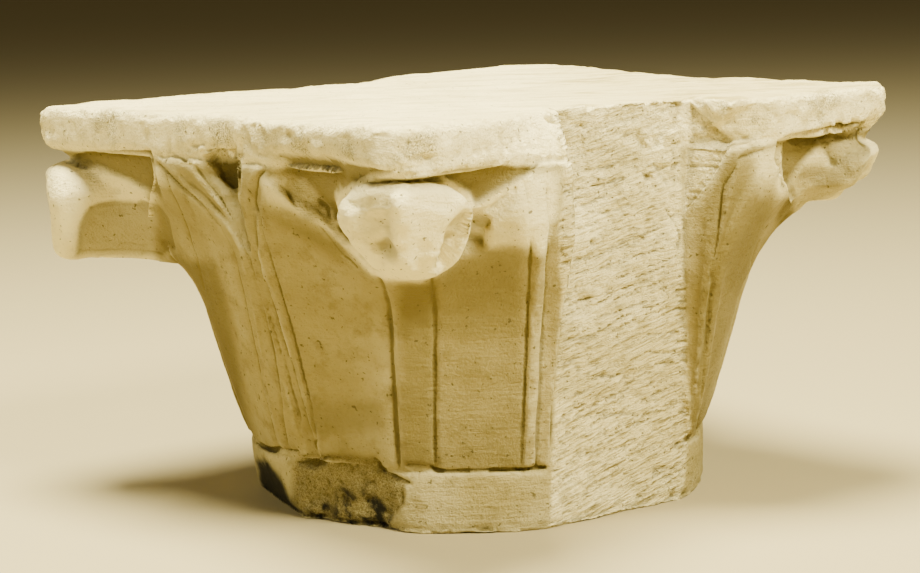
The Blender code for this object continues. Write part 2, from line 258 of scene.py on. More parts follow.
def cut(line, width, depth, seed=0):
    """A line cut into the stone, its bottom rounded and its depth a little uneven."""
    if len(line) < 2:
        return
    which, near = beside(line, 0.5 * width)
    uneven = 1.0 + CUT_UNEVENNESS * grain(points[which], CUT_LUMP, seed)
    push[which] -= depth * uneven * ease(0.5 * width - near, 0.0, 0.5 * width)


def patch(outline, feather):
    """How far inside an outline of pixels each point is that faces the camera, 0 to 1."""
    inside = np.zeros(count, bool)
    near = np.full(count, np.inf)
    for (x0, y0), (x1, y1) in zip(outline, outline[1:] + outline[:1]):
        crosses = (y0 > row) != (y1 > row)
        if y0 != y1:
            inside ^= crosses & (column < (x1 - x0) * (row - y0) / (y1 - y0) + x0)
        run, rise = x1 - x0, y1 - y0
        share = np.clip(((column - x0) * run + (row - y0) * rise) / (run * run + rise * rise), 0.0, 1.0)
        near = np.minimum(near, np.hypot(column - x0 - share * run, row - y0 - share * rise))
    depth = np.where(inside, near, -near)
    return ease(depth, -0.5 * feather, 0.5 * feather) * facing


def pressed(outline, feather, depth):
    """How deep a sunken place is at each point, from its outline, soft edge and depth."""
    return depth * patch(outline, feather)


def lumps(kind, seed, octaves=2):
    """Random relief at the points, of a kind that gives its depth and the size of its lumps."""
    depth, size = kind
    return depth * grain(points, size, seed, octaves)


def blot(pixel, radius, seed, ragged=0.5):
    """A ragged spot on the stone round a pixel, 1 in its middle."""
    distance = np.linalg.norm(points - np.array(touch(*pixel)), axis=1)
    near = np.nonzero(distance < BLOT_REACH * radius)[0]
    spot = np.zeros(count)
    uneven = 1.0 + ragged * grain(points[near], BLOT_LUMP * radius, seed, 2)
    spot[near] = ease(radius - distance[near] * uneven, 0.0, BLOT_EDGE * radius)
    return spot


def blots(marks, seed):
    """Several ragged spots together, each given as its pixel and its radius."""
    return np.clip(sum(blot(mark[:2], mark[2], seed + index) for index, mark in enumerate(marks)), 0.0, 1.0)


from_axis = np.hypot(points[:, 0], points[:, 1])
crocket = ease(from_axis, CROCKET_FROM - CROCKET_EASE, CROCKET_FROM)
crocket = crocket * (1.0 - ease(points[:, 2], CROCKET_UNDER_ABACUS, CROCKET_HIGH))
points += (softened(points, CROCKET_SOFTNESS) - points) * crocket[:, None]
outward = faced()
to_camera = np.array(CAMERA_PLACE) - points
to_camera /= np.linalg.norm(to_camera, axis=1)[:, None]
FACING_FULLY = 0.12
facing = ease(np.einsum("ij,ij->i", outward, to_camera), 0.0, FACING_FULLY)
column, row = seen_at(points)
push = np.zeros(count)

# Leaves: eight flat water leaves, two to a corner. The mason left a narrow roll along each
# leaf's edge and cut a fine line inside it, and two lines mark the rib that runs up the
# middle of each corner to its crocket.
LEAF_FOOT = 0.052
LEAF_WAIST = 0.205
LEAF_HEEL = 0.206
RIB_HALF_ANGLE = 4.3
LEAF_LINE_INSET = 2.6
LEAF_ARRIS_OUTSET = 0.7
TOP_LINE_DROP = 0.008
TOP_CURVE = 0.85
EDGE_BELOW_APEX = 0.004
EDGE_STEPS = 45
TOP_STEPS = 21
RIB_STEPS = 40
RIB_RISE = 0.150
FULL_TURN = 360.0
# Width and depth of each kind of line. A negative depth is a roll left standing.
LEFT_OF_RIB = (0.0075, 0.0016)
RIGHT_OF_RIB = (0.0055, 0.0016)
LEAF_ROLL = (0.0070, -0.0011)
LEAF_LINE = (0.0050, 0.0020)
LEAF_ARRIS = (0.0044, 0.0014)
TOP_ROLL = (0.0080, -0.0012)
TOP_LINE = (0.0055, 0.0024)
RIBS = {"left": (-89.0, -94.5), "front": (-14.6, -11.0), "right": (89.0, 84.0), "back": (172.0, 168.0)}
# The four leaves that the camera doesn't see: corner, which side of the rib, outer edge at
# foot and waist, apex, height of the apex.
LEAVES = (
    ("right", 1, 128.5, 122.0, 110.0, 0.272),
    ("back", -1, 133.5, 131.0, 142.0, 0.272),
    ("back", 1, 214.5, 211.0, 200.0, 0.272),
    ("left", -1, 224.5, 222.0, 240.0, 0.272),
)


def leaf_edge(foot, waist, apex, apex_height, inset):
    """The side edge of a leaf, moved towards its rib by an angle."""
    line = []
    for step in range(EDGE_STEPS + 1):
        height = LEAF_FOOT + (apex_height - EDGE_BELOW_APEX - LEAF_FOOT) * step / EDGE_STEPS
        lower = min(1.0, (height - LEAF_FOOT) / (LEAF_WAIST - LEAF_FOOT))
        curl = max(0.0, (height - LEAF_WAIST) / (apex_height - LEAF_WAIST))
        angle = foot + (waist - foot) * lower + (apex - waist) * curl * curl
        line.append(on_side(angle + inset, height))
    return [place for place in line if place is not None]


def leaf_top(rib, apex, apex_height, drop):
    """The top edge of a leaf, from its rib to its apex, moved down."""
    line = []
    for step in range(TOP_STEPS + 1):
        share = step / TOP_STEPS
        height = LEAF_HEEL + (apex_height - LEAF_HEEL) * share ** TOP_CURVE - drop
        line.append(on_side(rib + (apex - rib) * share, height))
    return [place for place in line if place is not None and place.xy.length < CROCKET_FROM]


for name, (foot, head) in RIBS.items():
    for side in (-1, 1):
        line = [on_side(foot + (head - foot) * step / RIB_STEPS + side * RIB_HALF_ANGLE,
                        LEAF_FOOT + RIB_RISE * step / RIB_STEPS)
                for step in range(RIB_STEPS + 1)]
        cut(line, *(LEFT_OF_RIB if side < 0 else RIGHT_OF_RIB), seed=side)
for corner, side, foot, waist, apex, apex_height in LEAVES:
    rib = RIBS[corner][1] + side * RIB_HALF_ANGLE
    if apex - rib > 0.5 * FULL_TURN:
        rib += FULL_TURN
    for inset, kind, seed in ((-0.5 * LEAF_LINE_INSET, LEAF_ROLL, 1), (-LEAF_LINE_INSET, LEAF_LINE, 2),
                              (LEAF_ARRIS_OUTSET, LEAF_ARRIS, 3)):
        cut(leaf_edge(foot, waist, apex, apex_height, side * inset), *kind, seed=seed)
    cut(leaf_top(rib, apex, apex_height, 0.5 * TOP_LINE_DROP), *TOP_ROLL, seed=5)
    cut(leaf_top(rib, apex, apex_height, TOP_LINE_DROP), *TOP_LINE, seed=4)

# The ground above the two front leaves is sunken under the abacus, and its shade is painted into its colour
# as well: painted shade.
SUNK_GROUNDS = (
    [(64, 159), (84, 153), (150, 152), (152, 168), (160, 200), (132, 184), (104, 171), (80, 166)],
    [(258, 155), (300, 160), (345, 165), (392, 173), (352, 183), (334, 194), (336, 220), (324, 208),
     (305, 186), (280, 162)],
    [(443, 174), (500, 168), (538, 165), (527, 176), (500, 190), (476, 206), (473, 195), (458, 184)],
    [(785, 143), (822, 135), (866, 123), (842, 136), (824, 144), (802, 165), (790, 184), (784, 188)],
)
GROUND_FEATHER = 5.0
GROUND_DEPTH = 0.0045
sunk_and_shaded = sum(patch(ground, GROUND_FEATHER) for ground in SUNK_GROUNDS)
push -= GROUND_DEPTH * sunk_and_shaded

# The lines of the leaves that the camera sees, and the rolls beside them: their pixels, width
# and depth.
SEEN_LINES = (
    ([(161, 168), (167, 184), (181, 214), (196, 258), (203, 288)], 0.0050, 0.0022),
    ([(158, 158), (182, 179), (206, 199), (225, 221), (241, 250), (252, 300), (268, 380), (283, 450)],
     0.0075, -0.0016),
    ([(158, 164), (180, 186), (202, 206), (220, 228), (234, 254), (246, 304), (261, 380), (277, 450)],
     0.0050, 0.0022),
    ([(172, 152), (196, 168), (224, 202), (243, 240), (258, 290), (272, 350), (288, 450)], 0.0055, 0.0024),
    ([(190, 142), (214, 162), (236, 190), (250, 233), (262, 262), (270, 300), (281, 336), (290, 401),
      (300, 452)], 0.0065, -0.0012),
    ([(266, 166), (258, 178), (255, 200), (262, 234), (278, 284), (293, 334), (302, 372), (312, 411),
      (316, 455)], 0.0050, 0.0024),
    ([(259, 164), (250, 180), (247, 202), (254, 236), (270, 286), (285, 336), (294, 374), (304, 413),
      (308, 455)], 0.0080, -0.0012),
    ([(268, 167), (280, 184), (292, 199), (314, 223), (334, 246), (356, 268)], 0.0048, 0.0022),
    ([(272, 164), (299, 194), (321, 219), (344, 246)], 0.0075, -0.0018),
    ([(279, 163), (306, 189), (326, 211), (341, 232)], 0.0050, 0.0026),
    ([(524, 184), (505, 196), (486, 212), (468, 232), (450, 252)], 0.0050, 0.0024),
    ([(527, 178), (500, 191), (476, 209), (462, 232)], 0.0080, -0.0018),
    ([(526, 182), (530, 200), (532, 230), (527, 320), (521, 465)], 0.0050, 0.0026),
    ([(538, 186), (541, 200), (544, 230), (535, 320), (528, 465)], 0.0080, -0.0014),
    ([(548, 190), (551, 230), (543, 320), (536, 465)], 0.0050, 0.0020),
    ([(758, 141), (729, 150), (713, 178), (704, 259), (700, 320), (695, 400), (690, 430)], 0.0060, -0.0014),
    ([(764, 150), (738, 160), (722, 186), (713, 262), (708, 322), (702, 400), (696, 432)], 0.0050, 0.0026),
    ([(782, 142), (784, 165), (782, 187)], 0.0055, 0.0030),
    ([(772, 222), (759, 242), (746, 285)], 0.0050, 0.0020),
)
# The solid's steep steps at the two front leaf tops are eased before the lines are cut.
EASED_TOPS = (
    [(266, 170), (276, 158), (300, 174), (330, 206), (350, 244), (338, 250), (300, 212)],
    [(280, 156), (336, 163), (337, 177), (284, 169)],
    [(528, 172), (532, 190), (500, 214), (462, 250), (452, 244), (474, 206), (500, 186)],
)
TOPS_SOFTNESS = 0.007
TOPS_EASED = 0.85
EASED_FEATHER = 10.0
eased = softened(points, TOPS_SOFTNESS)
for outline in EASED_TOPS:
    points += (eased - points) * (TOPS_EASED * patch(outline, EASED_FEATHER))[:, None]
outward = faced()
for number, (pixels, width, depth) in enumerate(SEEN_LINES):
    cut(traced(pixels), width, depth, seed=200 + number)

# Groove round the top of the neck: three runs that the camera sees. It is gone where the
# foot is broken.
GROOVES = (
    [(253, 443), (270, 449), (297, 453)],
    [(408, 467), (440, 470), (500, 470), (545, 467)],
    [(677, 446), (688, 440), (699, 433)],
)
GROOVE_CUT = (0.0060, 0.0042)
for index, groove in enumerate(GROOVES):
    cut(traced(groove), *GROOVE_CUT, seed=240 + index)

# Broken and spalled places: the neck lost a long flake at its front foot, with a crack at
# its right end, and the abacus was knocked about over the gap between two leaves. A pressed
# place is given as its outline, the softness of its edge in pixels and its depth.
SPALL = [(292, 459), (330, 455), (372, 459), (383, 470), (405, 484), (404, 505), (386, 522), (388, 534),
         (330, 530), (303, 522), (292, 503)]
SPALL_FEATHER = 8.0
SPALL_SOFTNESS = 0.006
SPALL_DEPTH = 0.0012
SPALL_LUMPS = (0.0022, 0.014)
SPALL_GRAINS = (0.0016, 0.005)
SPALL_HOLLOW = ([(296, 462), (312, 457), (328, 462), (312, 468)], 5.0, 0.006)
CRACK = [(375, 461), (382, 470), (395, 478), (408, 483)]
CRACK_CUT = (0.007, 0.0045)
NOTCH_TRIANGLE = ([(203, 157), (240, 150), (237, 192), (222, 178)], 5.0, 0.010)
ABACUS_BITE = ([(188, 143), (212, 143), (240, 143), (240, 152), (206, 159)], 5.0, 0.006)
ABACUS_BITE_LUMP = 0.012
ABACUS_BITE_SHARE = (-0.3, 0.2)

# The front crocket is worn to a ridge, hollow on its left and bruised at its tip, and a
# bite is gone from under the front corner of the abacus.
CROCKET_OUTLINE = [(338, 190), (395, 181), (455, 190), (474, 214), (454, 258), (438, 280), (388, 272),
                   (352, 246)]
CROCKET_FEATHER = 10.0
CROCKET_LOST_SIDE = ([(474, 214), (486, 220), (486, 270), (448, 290), (440, 282), (447, 262), (458, 236)],
                     6.0, 0.0160)
CROCKET_LEFT = ([(346, 200), (390, 192), (396, 250), (384, 266), (362, 248)], 18.0, 0.0060)
CROCKET_RIGHT = ([(416, 192), (455, 198), (466, 216), (448, 256), (422, 270)], 18.0, 0.0045)
CROCKET_RIDGE = 404
CROCKET_RIDGE_REACH = 46
CROCKET_HOLLOW = ([(372, 222), (396, 214), (402, 240), (398, 256), (384, 258), (374, 242)], 16.0, 0.0022)
CROCKET_LUMPS = (0.0016, 0.024)
CROCKET_DENTS = (0.0011, 0.009)
CROCKET_BRUISE = [(374, 250), (390, 247), (414, 250), (413, 260), (398, 264), (382, 260)]
BRUISE_FEATHER = 11.0
BRUISE_DEPTH = 0.0032
CORNER_BITE = ([(404, 172), (408, 160), (425, 153), (440, 156), (438, 168), (420, 175)], 7.0, 0.0060)
RIGHT_BREAK = [(822, 138), (846, 127), (876, 120), (874, 150), (868, 168), (852, 176), (830, 164)]
RIGHT_BREAK_FEATHER = 6.0
RIGHT_BREAK_DEPTH = 0.0015
RIGHT_BREAK_LUMPS = (0.0040, 0.020)
RIGHT_HOLE = (784, 171)
RIGHT_HOLE_RADIUS = 0.006
RIGHT_HOLE_DEPTH = 0.0060
RIGHT_CHAMFER = ([(786, 138), (822, 130), (866, 122), (895, 110), (895, 140), (866, 142), (800, 147)],
                 6.0, 0.0060)
LEFT_CHEEK = [(80, 226), (90, 209), (113, 199), (153, 207), (166, 222), (172, 252), (160, 266), (100, 268),
              (76, 262), (78, 244)]
CHEEK_FEATHER = 5.0
CHEEK_DEPTH = 0.0040
CHEEK_DISH_FEATHER = 34.0
CHEEK_DISH = 0.0050
FRONT_WAY = np.array([-0.19, -0.98, 0.12])
KEEL_HEIGHT = 0.0135
BELLY_HEIGHT = 0.0120
BELLY_TOP_ROWS = (190.0, 250.0)
BELLY_FOOT_ROWS = (258.0, 282.0)
keel = np.clip(1.0 - np.abs(column - CROCKET_RIDGE) / CROCKET_RIDGE_REACH, 0.0, 1.0)
front_crocket = patch(CROCKET_OUTLINE, CROCKET_FEATHER) * crocket
belly = BELLY_HEIGHT * ease(row, *BELLY_TOP_ROWS) * (1.0 - ease(row, *BELLY_FOOT_ROWS))
swell = front_crocket * (KEEL_HEIGHT * keel + belly)
points += swell[:, None] * FRONT_WAY
push -= pressed(*CROCKET_LOST_SIDE) * crocket
bruise = patch(CROCKET_BRUISE, BRUISE_FEATHER)
push -= pressed(*CROCKET_HOLLOW) + BRUISE_DEPTH * bruise
push -= crocket * (lumps(CROCKET_LUMPS, 14) + np.abs(lumps(CROCKET_DENTS, 15)))
push -= pressed(*CORNER_BITE)
push -= pressed(*CROCKET_LEFT) + pressed(*CROCKET_RIGHT)
left_cheek = patch(LEFT_CHEEK, CHEEK_FEATHER)
push -= CHEEK_DEPTH * left_cheek + pressed(LEFT_CHEEK, CHEEK_DISH_FEATHER, CHEEK_DISH)
right_break = patch(RIGHT_BREAK, RIGHT_BREAK_FEATHER)
push -= right_break * (RIGHT_BREAK_DEPTH + lumps(RIGHT_BREAK_LUMPS, 7, octaves=3))
push -= RIGHT_HOLE_DEPTH * blot(RIGHT_HOLE, RIGHT_HOLE_RADIUS, 8)
push -= pressed(*RIGHT_CHAMFER)

spall = patch(SPALL, SPALL_FEATHER)
blurred = softened(points, SPALL_SOFTNESS)
points += (blurred - points) * spall[:, None]
outward = faced()
push -= spall * (SPALL_DEPTH + lumps(SPALL_LUMPS, 11) + np.abs(lumps(SPALL_GRAINS, 12)))
push -= pressed(*SPALL_HOLLOW)
cut(traced(CRACK), *CRACK_CUT, seed=5)
push -= pressed(*NOTCH_TRIANGLE)
push -= pressed(*ABACUS_BITE) * ease(grain(points, ABACUS_BITE_LUMP, 13, 2), *ABACUS_BITE_SHARE)

# Hacked band: the front right of the block was cut back with a point, in short strokes that
# rise to the right and overlap downwards, with a few long gouges and pits among them.
BAND = [(549, 107), (557, 135), (567, 190), (558, 236), (560, 300), (553, 450), (550, 536), (591, 527),
        (651, 515), (681, 506), (690, 440), (684, 300), (681, 185), (682, 98)]
RECESS = [(689, 103), (732, 142), (712, 178), (684, 212)]
BAND_SHADE = ([(673, 100), (682, 98), (681, 165), (673, 172)], 4.0, 0.0030)
BAND_FEATHER = 7.0
RECESS_FEATHER = 3.0
RECESS_DEPTH = 0.0040
BAND_TURN = math.radians(36.0)
STROKE_SLOPE = 0.26
STROKE_SPACING = 0.0056
STROKE_LENGTH = 0.030
STROKE_DEPTH = 0.0032
STROKE_WARP = (0.0035, 0.030)
CROSS_SLOPE = 1.5 * STROKE_SLOPE
CROSS_WARP = 0.8
CROSS_SPACING = 0.61 * STROKE_SPACING
CROSS_LENGTH = 0.6 * STROKE_LENGTH
CROSS_DEPTH = 0.0017
LEVEL_WARP = 0.6
LEVEL_SPACING = 0.0050
LEVEL_LENGTH = 0.020
LEVEL_DEPTH = 0.0024
LEAST_VIGOUR = 0.30
VIGOUR_LUMP = 0.040
VIGOUR_SHARE = (-0.45, 0.45)
BAND_LUMPS = (0.0024, 0.032)
BAND_GRAINS = (0.0010, 0.006)
GOUGE_CUT = (0.0052, 0.0021)
BAND_CRACK_CUT = (0.0045, 0.0022)
HOLLOW_FEATHER = 7.0
HOLLOW_DEPTH = 0.0030
PIT_RADIUS = 0.0035
PIT_DEPTH = 0.0030
ROW_SHIFT = 5.0
LEAST_BITE = 0.25
BITE_CURVE = 1.4
BITE_END = 0.16
GOUGES = (
    ((549, 119), (575, 125), (600, 127), (660, 112)),
    ((600, 170), (612, 166)),
    ((592, 187), (608, 184), (625, 178)),
    ((590, 213), (612, 212), (630, 205)),
    ((573, 207), (590, 205), (606, 196)),
    ((577, 262), (612, 250), (640, 238)),
    ((575, 275), (620, 262), (662, 247)),
    ((590, 300), (640, 285), (668, 272)),
    ((600, 318), (640, 305), (664, 296)),
    ((565, 341), (594, 336)),
    ((650, 335), (680, 333)),
    ((656, 365), (673, 363)),
    ((650, 352), (682, 355)),
    ((598, 377), (620, 375)),
    ((578, 418), (600, 415), (648, 415)),
    ((608, 436), (620, 431)),
    ((590, 455), (640, 444)),
)
BAND_CRACK = [(665, 208), (673, 220), (680, 235), (678, 250)]
BAND_HOLLOWS = (
    [(622, 133), (640, 131), (643, 143), (628, 144)],
    [(655, 166), (680, 164), (682, 186), (664, 187)],
    [(562, 183), (583, 185), (580, 196), (566, 197)],
    [(566, 291), (580, 290), (594, 303), (585, 312), (570, 305)],
    [(655, 466), (674, 468), (672, 480), (656, 479)],
)
BAND_PITS = ((549, 119), (640, 101), (643, 145), (648, 177), (592, 243), (604, 377), (650, 177), (641, 498),
             (672, 497))


def strokes(across, up, spacing, length, seed):
    """Bites of a chisel: each recedes from its foot to its head, where the next one juts out."""
    row_of = np.floor(up / spacing).astype(np.int64)
    climb = up / spacing - row_of
    run = across / length + ROW_SHIFT * scatter(row_of, seed)
    cell = np.floor(run).astype(np.int64)
    along = run - cell
    bite = LEAST_BITE + (1.0 - LEAST_BITE) * scatter(row_of, cell, seed + 1)
    return bite * climb ** BITE_CURVE * ease(np.minimum(along, 1.0 - along), 0.0, BITE_END)


band = patch(BAND, BAND_FEATHER)
recess = patch(RECESS, RECESS_FEATHER)
push -= RECESS_DEPTH * recess
across = points[:, 0] * math.cos(BAND_TURN) + points[:, 1] * math.sin(BAND_TURN)
warp = lumps(STROKE_WARP, 21)
up = points[:, 2] - STROKE_SLOPE * across + warp
vigour = LEAST_VIGOUR + ease(grain(points, VIGOUR_LUMP, 24, 2), *VIGOUR_SHARE)
push -= band * vigour * STROKE_DEPTH * strokes(across, up, STROKE_SPACING, STROKE_LENGTH, 31)
steep = points[:, 2] - CROSS_SLOPE * across - CROSS_WARP * warp
push -= band * CROSS_DEPTH * strokes(across, steep, CROSS_SPACING, CROSS_LENGTH, 37)
push -= band * (lumps(BAND_LUMPS, 22) + lumps(BAND_GRAINS, 23))
level = points[:, 2] + LEVEL_WARP * warp
push -= recess * LEVEL_DEPTH * strokes(across, level, LEVEL_SPACING, LEVEL_LENGTH, 41)
push -= pressed(*BAND_SHADE)
for index, gouge in enumerate(GOUGES):
    cut(traced(gouge), *GOUGE_CUT, seed=50 + index)
cut(traced(BAND_CRACK), *BAND_CRACK_CUT, seed=70)
for hollow in BAND_HOLLOWS:
    push -= pressed(hollow, HOLLOW_FEATHER, HOLLOW_DEPTH)
for index, pit in enumerate(BAND_PITS):
    push -= PIT_DEPTH * blot(pit, PIT_RADIUS, 80 + index)

# Top bed: dressed flat, with a low rise left along its far corner, and streaks of the drag
# that run from left to right.
BED_HEIGHTS = (0.300, 0.31)
BED_FACING = (0.75, 0.95)
RISE = 0.0055
RISE_BACK = (0.12, 0.32)
RISE_LEFT = (-0.085, -0.060)
RISE_RIGHT = (0.10, 0.26)
RISE_HEIGHTS = (0.285, 0.305)
ALONG_DRAG = np.array([0.12, 1.0, 1.0])
DRAG_DEPTH = 0.0013
DRAG_SIZE = 0.011
BED_WAVES = (0.0009, 0.05)
bed = ease(outward[:, 2], *BED_FACING) * ease(points[:, 2], *BED_HEIGHTS)
lift = RISE * ease(points[:, 1], *RISE_BACK) * ease(points[:, 0], *RISE_LEFT)
lift *= 1.0 - ease(points[:, 0], *RISE_RIGHT)
points[:, 2] += lift * ease(points[:, 2], *RISE_HEIGHTS)
drag = points * ALONG_DRAG
push -= bed * (DRAG_DEPTH * grain(drag, DRAG_SIZE, 61, 2) + lumps(BED_WAVES, 62))

points += outward * push[:, None]
push[:] = 0.0

# Steps of the solid that the photograph doesn't show: the right crocket's neck is cut away
# from below, the right corner of the abacus is worn short, and jagged places are eased.
UNDERCUT = 0.014
UNDERCUT_OUTWARDS = (0.212, 0.250)
UNDERCUT_HEIGHTS = (0.215, 0.245)
UNDERCUT_FACING = (-0.1, 0.3)
UNDERCUT_HALF_WIDTH = 0.10
UNDERCUT_EASE = 0.04
undercut = ease(points[:, 0], *UNDERCUT_OUTWARDS) * (1.0 - ease(points[:, 2], *UNDERCUT_HEIGHTS))
undercut = undercut * ease(-outward[:, 2], *UNDERCUT_FACING)
points[:, 2] += UNDERCUT * undercut * ease(UNDERCUT_HALF_WIDTH - np.abs(points[:, 1]), 0.0, UNDERCUT_EASE)
LEDGE = [(276, 158), (336, 163), (340, 178), (280, 171)]
LEDGE_FEATHER = 5.0
LEDGE_PUSH = 0.035
points[:, :2] *= (1.0 - LEDGE_PUSH * patch(LEDGE, LEDGE_FEATHER))[:, None]
JAGGED = (
    [(778, 184), (808, 180), (822, 208), (800, 226), (776, 222)],
    [(142, 192), (166, 194), (168, 232), (144, 232)],
    [(262, 150), (345, 156), (347, 186), (336, 206), (268, 182)],
    [(457, 210), (484, 207), (486, 246), (452, 246)],
)
JAGGED_SOFTNESS = 0.008
eased = softened(points, JAGGED_SOFTNESS)
for outline in JAGGED:
    points += (eased - points) * patch(outline, EASED_FEATHER)[:, None]
WORN_OUTWARDS = (0.298, 0.318)
WORN_ABOVE = (0.284, 0.295)
WORN_BELOW = (0.262, 0.275)
WORN_DEPTH = 0.010
RIGHT_END = 0.322
PAST_END_KEPT = 0.5
worn_corner = ease(points[:, 0], *WORN_OUTWARDS) * (1.0 - ease(points[:, 2], *WORN_ABOVE))
points[:, 0] -= WORN_DEPTH * (worn_corner * ease(points[:, 2], *WORN_BELOW))
shortened = RIGHT_END + PAST_END_KEPT * (points[:, 0] - RIGHT_END)
points[:, 0] = np.where(points[:, 0] > RIGHT_END, shortened, points[:, 0])
outward = faced()

# Weathering: every arris is a little worn and chipped, worst along the top bed and on the
# crockets, and all faces carry the slight unevenness of hand work.
ARRIS_SOFTNESS = 0.0035
ARRIS_LOSS = 0.003
LEAST_WEAR = 0.35
WEAR_LUMP = 0.025
WEAR_SHARE = (-0.5, 0.5)
soft = softened(points, ARRIS_SOFTNESS)
ridge = np.einsum("ij,ij->i", points - soft, outward)
wear = ease(grain(points, WEAR_LUMP, 91, 3), *WEAR_SHARE)
points -= outward * (np.clip(ridge, 0.0, ARRIS_LOSS) * (LEAST_WEAR + (1.0 - LEAST_WEAR) * wear))[:, None]

CHIP_SOFTNESS = 0.0065
CHIP_LUMP = 0.014
CHIP_SHARE = (0.20, 0.38)
CHIP_JUT = (0.0005, 0.0018)
CHIP_CUT = 0.9
CHIPS_BELOW_ABACUS = 0.55
ABACUS_HEIGHTS = (0.276, 0.284)
MORE_ON_ABACUS = 0.24
broad = softened(points, CHIP_SOFTNESS)
jut = np.einsum("ij,ij->i", points - broad, outward)
abacus = ease(points[:, 2], *ABACUS_HEIGHTS)
chips = ease(grain(points, CHIP_LUMP, 92, 3) + MORE_ON_ABACUS * abacus, *CHIP_SHARE) * ease(jut, *CHIP_JUT)
chips *= CHIPS_BELOW_ABACUS + (1.0 - CHIPS_BELOW_ABACUS) * abacus
points += (broad - points) * (CHIP_CUT * chips)[:, None]
outward = faced()

FOOT_HEIGHTS = (0.002, 0.009)
FOOT_LOSS = 0.0022
FOOT_LUMPS = (0.0016, 0.011)
BROAD_WAVES = (0.0007, 0.045)
FINE_WAVES = (0.00035, 0.009)
WORN_ABACUS = [(146, 104), (240, 112), (240, 146), (188, 145), (146, 150)]
WORN_FEATHER = 12.0
WORN_SMOOTH = 0.8
ROUGH_FACING = (0.3, 0.8)
ROUGH_LUMP = 0.05
ROUGH_SHARE = (-0.6, 0.1)
ROUGH_GRAINS = (0.0017, 0.0075)
ROUGH_PIT_DEPTH = 0.0016
ROUGH_PIT_SIZE = 0.0060
ROUGH_PIT_SHARE = (0.1, 0.6)
upright = 1.0 - np.abs(outward[:, 2])
foot = 1.0 - ease(points[:, 2], *FOOT_HEIGHTS)
push -= foot * upright * (FOOT_LOSS + lumps(FOOT_LUMPS, 98))
push -= lumps(BROAD_WAVES, 93)
push -= lumps(FINE_WAVES, 94)
rough_abacus = abacus * ease(upright, *ROUGH_FACING) * ease(grain(points, ROUGH_LUMP, 95, 2), *ROUGH_SHARE)
rough_abacus *= 1.0 - WORN_SMOOTH * patch(WORN_ABACUS, WORN_FEATHER)
pits = ROUGH_PIT_DEPTH * ease(grain(points, ROUGH_PIT_SIZE, 97), *ROUGH_PIT_SHARE)
push -= rough_abacus * (lumps(ROUGH_GRAINS, 96) + pits)
points += outward * push[:, None]
outward = faced()

# What the finish needs to know of each place: how deep in a crease, how worn, how freshly broken, how
# stained, and where shade and light are painted into its colour.
STAIN = ([(303, 400), (388, 398), (392, 460), (352, 470), (305, 456)], 26.0, 0.55)
DARK_STAIN = ([(303, 402), (383, 400), (385, 431), (306, 436)], 10.0, 0.45)
NECK_TOP = 0.052
LEAF_TOP = 0.278
# The slanting break at the left foot is painted nearly black: painted shadow.
FOOT_BREAK = [(256, 460), (267, 460), (281, 479), (290, 500), (301, 518), (286, 518), (262, 490)]
FOOT_BREAK_FEATHER = 5.0
# Faces painted darker than the rest, with how much: partly dirt and partly painted shade, as on the rib, the
# left half of the front crocket, the leaf tops, the right crocket's underside and its break, which are
# darkened for the shade that falls on them.
GRIMY_AND_SHADED_FACES = (
    ([(398, 285), (436, 283), (436, 468), (402, 468)], 0.50),
    ([(700, 215), (716, 180), (732, 150), (781, 150), (778, 200), (760, 240), (735, 320), (715, 370),
      (700, 436), (690, 436)], 0.40),
    ([(786, 188), (800, 166), (826, 166), (850, 174), (875, 164), (860, 210), (810, 226), (780, 240)], 0.85),
    ([(342, 196), (394, 188), (397, 262), (385, 268), (352, 240)], 0.42),
    ([(243, 126), (392, 134), (392, 170), (300, 158), (243, 152)], 0.52),
    ([(165, 250), (190, 262), (215, 262), (228, 300), (245, 400), (252, 440), (238, 440), (215, 340),
      (190, 285)], 0.62),
    ([(256, 176), (270, 172), (300, 204), (345, 246), (340, 264), (300, 236), (262, 216)], 0.35),
    ([(474, 218), (500, 202), (528, 192), (530, 236), (500, 242), (470, 242)], 0.24),
    ([(440, 262), (480, 222), (520, 196), (524, 465), (440, 465)], 0.26),
    ([(560, 238), (682, 238), (684, 400), (556, 400)], 0.30),
    ([(800, 142), (874, 118), (874, 150), (862, 172), (830, 190), (800, 180)], 0.48),
)
# Painted highlight: thin lips and arrises that catch the light are painted paler: the right edge of the
# right front leaf, the lips under the neck's groove and the arris beside the hacked band.
LIT_EDGES = (
    [(532, 195), (552, 195), (550, 320), (547, 465), (530, 465), (536, 320)],
    [(262, 453), (310, 457), (308, 463), (264, 461)],
    [(410, 470), (546, 471), (546, 478), (410, 477)],
    [(683, 186), (690, 200), (692, 430), (686, 430)],
)
# Spots: column, row and radius.
GRIMY_SPOTS = ((110, 118, 0.018), (98, 124, 0.012), (830, 98, 0.017), (815, 103, 0.010), (180, 126, 0.010),
               (222, 130, 0.014), (262, 137, 0.012), (300, 142, 0.012), (350, 150, 0.010), (417, 150, 0.012),
               (430, 140, 0.010), (724, 107, 0.006), (754, 120, 0.006), (783, 171, 0.008))
